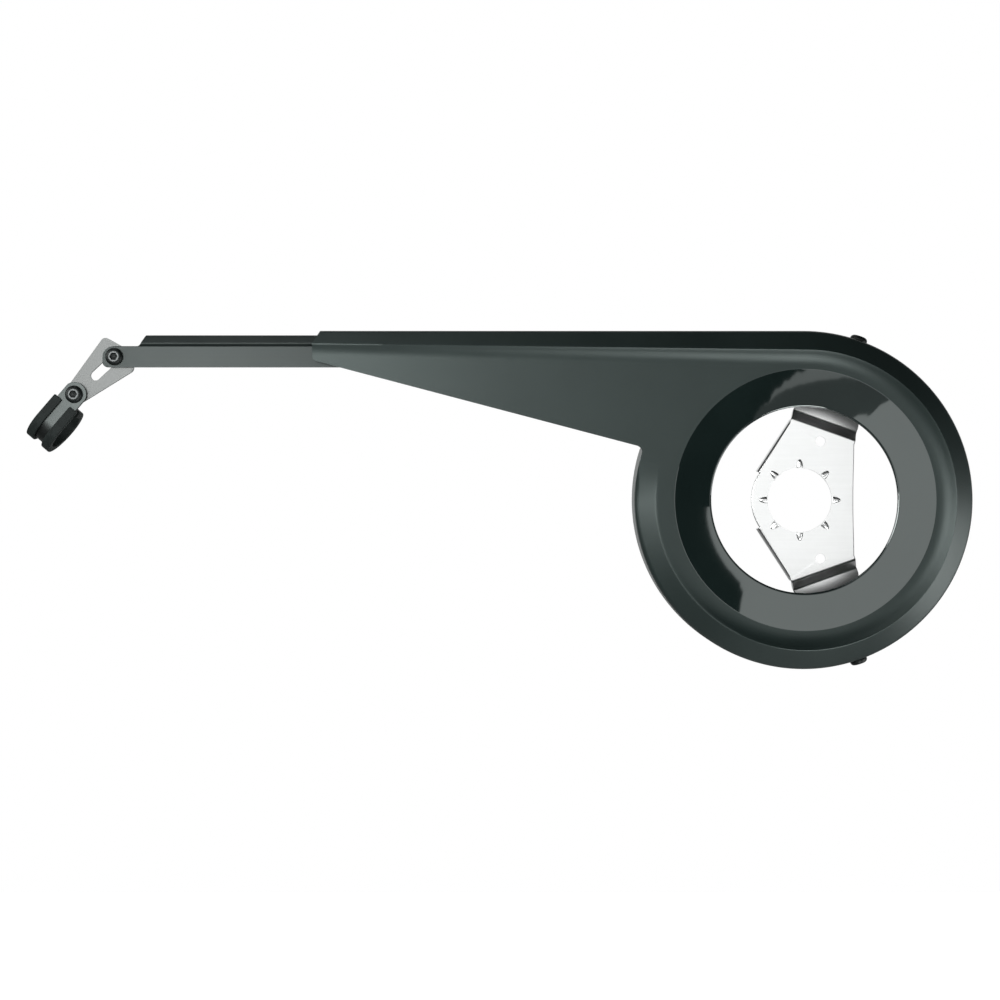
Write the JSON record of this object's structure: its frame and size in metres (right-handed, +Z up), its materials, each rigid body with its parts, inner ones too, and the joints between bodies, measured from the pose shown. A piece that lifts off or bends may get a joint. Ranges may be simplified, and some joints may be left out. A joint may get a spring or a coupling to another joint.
{
  "type": "bicycle chain guard",
  "caption": "Bicycle chain guard: ring cover with crank hole and tapering tail, sheet bracket for the bottom bracket, sliding rear rail, slotted link and lined P-clip for the chain stay.",
  "frame": {"origin": "centre of the bracket's bottom bracket hole, in the middle of the sheet", "axes": "+X to the front of the bicycle, +Z up, -Y outwards along the bottom bracket axis to the rider's side"},
  "size_m": [0.5107, 0.0347, 0.182],
  "materials": {
    "cover_plastic": "satin black moulded plastic, glossy on the funnel round the crank hole",
    "bracket_zinc": "bright zinc-plated sheet steel",
    "screw_black": "black oxide socket screw",
    "nut_zinc": "zinc-plated steel",
    "rail_dark": "dark satin coated profile",
    "link_steel": "grey satin sheet steel",
    "strap_steel": "grey satin band steel",
    "liner_rubber": "matte black rubber"
  },
  "bodies": {
    "cover": {"cover_shell": "cover_plastic", "mounting_bracket": "bracket_zinc", "bracket_screw_upper": "screw_black", "bracket_screw_lower": "screw_black", "bracket_nut_upper": "nut_zinc", "bracket_nut_lower": "nut_zinc"},
    "rail": {"extension_rail": "rail_dark"},
    "pivot": {"pivot_screw": "screw_black", "pivot_washer": "nut_zinc", "pivot_nut": "nut_zinc"},
    "link": {"link_plate": "link_steel"},
    "clip": {"clip_strap": "strap_steel", "clip_liner": "liner_rubber", "clip_screw": "screw_black", "clip_washer": "nut_zinc", "clip_nut": "nut_zinc"}
  },
  "joints": [
    {"name": "rail_slide", "type": "slide", "parent": "cover", "child": "rail", "axis": [-1, 0, 0], "range_m": [-0.04, 0.025]},
    {"name": "link_swing", "type": "hinge", "parent": "rail", "child": "pivot", "pos_m": [-0.37, 0, 0.07685], "axis": [0, -1, 0], "range_deg": [-40, 45]},
    {"name": "link_slide", "type": "slide", "parent": "pivot", "child": "link", "axis": [0.7314, 0, 0.682], "range_m": [-0.0012, 0.0095]},
    {"name": "clip_swing", "type": "hinge", "parent": "link", "child": "clip", "pos_m": [-0.39165, 0, 0.05666], "axis": [0, -1, 0], "range_deg": [-50, 50]}
  ]
}
